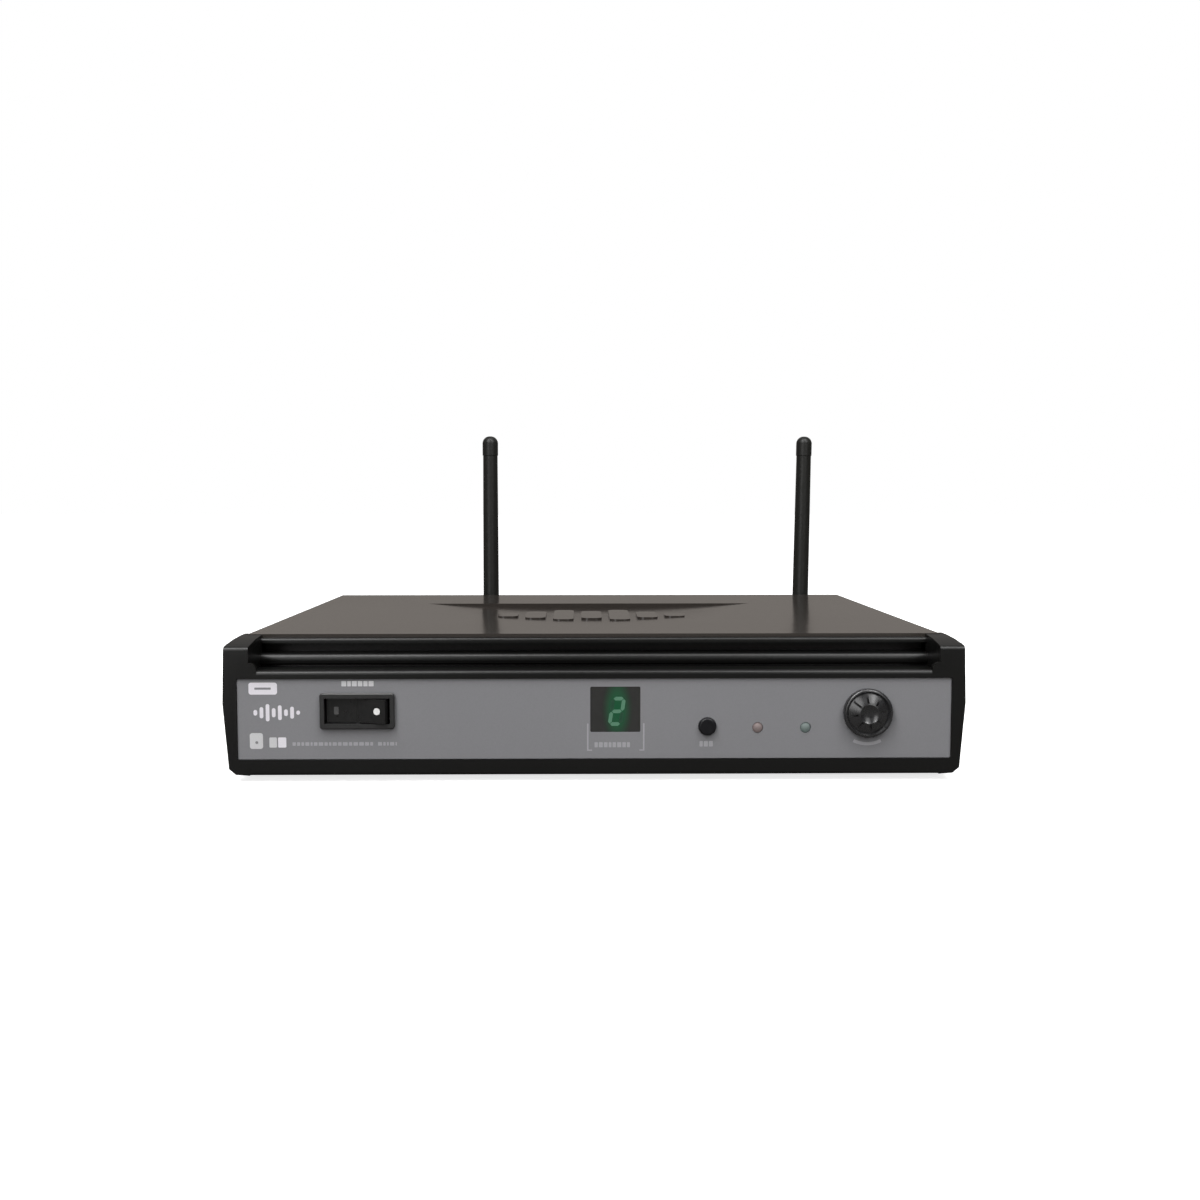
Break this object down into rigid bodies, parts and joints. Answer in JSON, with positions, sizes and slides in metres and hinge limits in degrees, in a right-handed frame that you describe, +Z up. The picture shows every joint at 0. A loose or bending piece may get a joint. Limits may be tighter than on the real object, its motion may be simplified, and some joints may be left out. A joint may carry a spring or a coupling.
{
  "type": "wireless receiver unit",
  "caption": "Desktop wireless microphone receiver: low steel case with moulded front frame, rocker switch, channel display, volume knob and rear folding whip antennas.",
  "frame": {"origin": "centre of the whole object's footprint at the underside of the feet", "axes": "+X to the right seen from the front, -Y out of the front panel, +Z up"},
  "size_m": [0.21, 0.1896, 0.1057],
  "materials": {
    "bezel_abs": "black moulded ABS, satin",
    "fascia_grey": "mid grey satin fascia",
    "tinted_window": "smoked acrylic",
    "display_body": "black display module",
    "circuit_board": "green solder mask",
    "zinc_steel": "zinc plated sheet",
    "zinc_screws": "zinc plated",
    "black_parts": "black moulding",
    "button_black": "black button",
    "led_red": "red diffused LED",
    "led_green": "green diffused LED",
    "pot_metal": "plated metal",
    "knob_black": "black moulded knob",
    "switch_black": "black rocker switch",
    "brass_contacts": "brass",
    "wire_red": "PVC wire",
    "cover_paint": "warm dark grey textured paint",
    "rear_paint": "dark grey paint",
    "feet_rubber": "rubber",
    "black_screws": "black oxide",
    "tinned_shield": "tinned sheet",
    "capacitor_sleeve": "PVC sleeve",
    "ribbon_grey": "flat cable",
    "connector_white": "nylon",
    "nickel": "nickel plated",
    "silver_pins": "silver plated",
    "pot_blue": "trimmer body",
    "trimmer_white": "white nylon",
    "antenna_plastic": "black nylon",
    "antenna_sheath": "black elastomer sheath",
    "coax_black": "coaxial lead"
  },
  "bodies": {
    "receiver_case": {"front_bezel": "bezel_abs", "front_panel": "fascia_grey", "display_window": "tinted_window", "digit_display": "display_body", "front_board": "circuit_board", "front_board_pillars": "zinc_steel", "front_board_screws": "zinc_screws", "tact_switch": "black_parts", "left_led": "led_red", "right_led": "led_green", "volume_pot": "pot_metal", "switch_housing": "switch_black", "switch_terminals": "brass_contacts", "switch_leads": "wire_red", "bottom_chassis": "zinc_steel", "top_cover": "cover_paint", "rear_panel": "rear_paint", "rubber_feet": "feet_rubber", "cover_screws": "black_screws", "rear_panel_screws": "black_screws", "bezel_screws": "zinc_screws", "main_board": "circuit_board", "board_standoffs": "brass_contacts", "board_screws": "zinc_screws", "tuner_shields": "tinned_shield", "integrated_circuits": "black_parts", "electrolytic_capacitors": "capacitor_sleeve", "crystal_cans": "tinned_shield", "voltage_regulator": "black_parts", "ribbon_cable": "ribbon_grey", "ribbon_connectors": "connector_white", "xlr_shell": "nickel", "xlr_insert": "black_parts", "xlr_pins": "silver_pins", "xlr_screws": "black_screws", "jack_body": "black_parts", "jack_bush": "nickel", "jack_nut": "nickel", "squelch_pot": "pot_blue", "dc_inlet": "black_parts", "dc_pin": "silver_pins", "cord_hook": "black_parts", "antenna_bushes": "nickel", "antenna_nuts": "nickel", "coax_connectors": "brass_contacts", "coax_leads": "coax_black"},
    "power_rocker": {"switch_rocker": "switch_black"},
    "channel_select": {"channel_button": "button_black", "tact_plunger": "black_parts"},
    "volume_control": {"volume_knob": "knob_black", "volume_shaft": "pot_metal"},
    "squelch_control": {"squelch_trimmer": "trimmer_white"},
    "left_knuckle": {"left_antenna_knuckle": "antenna_plastic", "left_antenna_pin": "nickel"},
    "left_whip": {"left_antenna_rod": "antenna_sheath", "left_antenna_tip": "antenna_sheath"},
    "right_knuckle": {"right_antenna_knuckle": "antenna_plastic", "right_antenna_pin": "nickel"},
    "right_whip": {"right_antenna_rod": "antenna_sheath", "right_antenna_tip": "antenna_sheath"}
  },
  "joints": [
    {"name": "power_rocker_tilt", "type": "hinge", "parent": "receiver_case", "child": "power_rocker", "pos_m": [-0.06715, -0.0906, 0.0204], "axis": [0, 0, 1], "range_deg": [0, 20]},
    {"name": "channel_button_press", "type": "slide", "parent": "receiver_case", "child": "channel_select", "axis": [0, 1, 0], "range_m": [0, 0.0008], "stiffness_N_per_m": 1500, "springref_m": -0.0003},
    {"name": "volume_turn", "type": "hinge", "parent": "receiver_case", "child": "volume_control", "pos_m": [0.0772, -0.0922, 0.0195], "axis": [0, 1, 0], "range_deg": [-281, 19]},
    {"name": "squelch_turn", "type": "hinge", "parent": "receiver_case", "child": "squelch_control", "pos_m": [-0.015, 0.0818, 0.017], "axis": [0, 1, 0], "range_deg": [-120, 120]},
    {"name": "left_antenna_swivel", "type": "hinge", "parent": "receiver_case", "child": "left_knuckle", "pos_m": [-0.0414, 0.0898, 0.024], "axis": [0, 1, 0], "range_deg": [-90, 90]},
    {"name": "left_antenna_fold", "type": "hinge", "parent": "left_knuckle", "child": "left_whip", "pos_m": [-0.0414, 0.0898, 0.024], "axis": [-1, 0, 0], "range_deg": [0, 90]},
    {"name": "right_antenna_swivel", "type": "hinge", "parent": "receiver_case", "child": "right_knuckle", "pos_m": [0.08765, 0.0898, 0.024], "axis": [0, 1, 0], "range_deg": [-90, 90]},
    {"name": "right_antenna_fold", "type": "hinge", "parent": "right_knuckle", "child": "right_whip", "pos_m": [0.08765, 0.0898, 0.024], "axis": [-0.9999, 0, 0.014], "range_deg": [0, 90]}
  ]
}
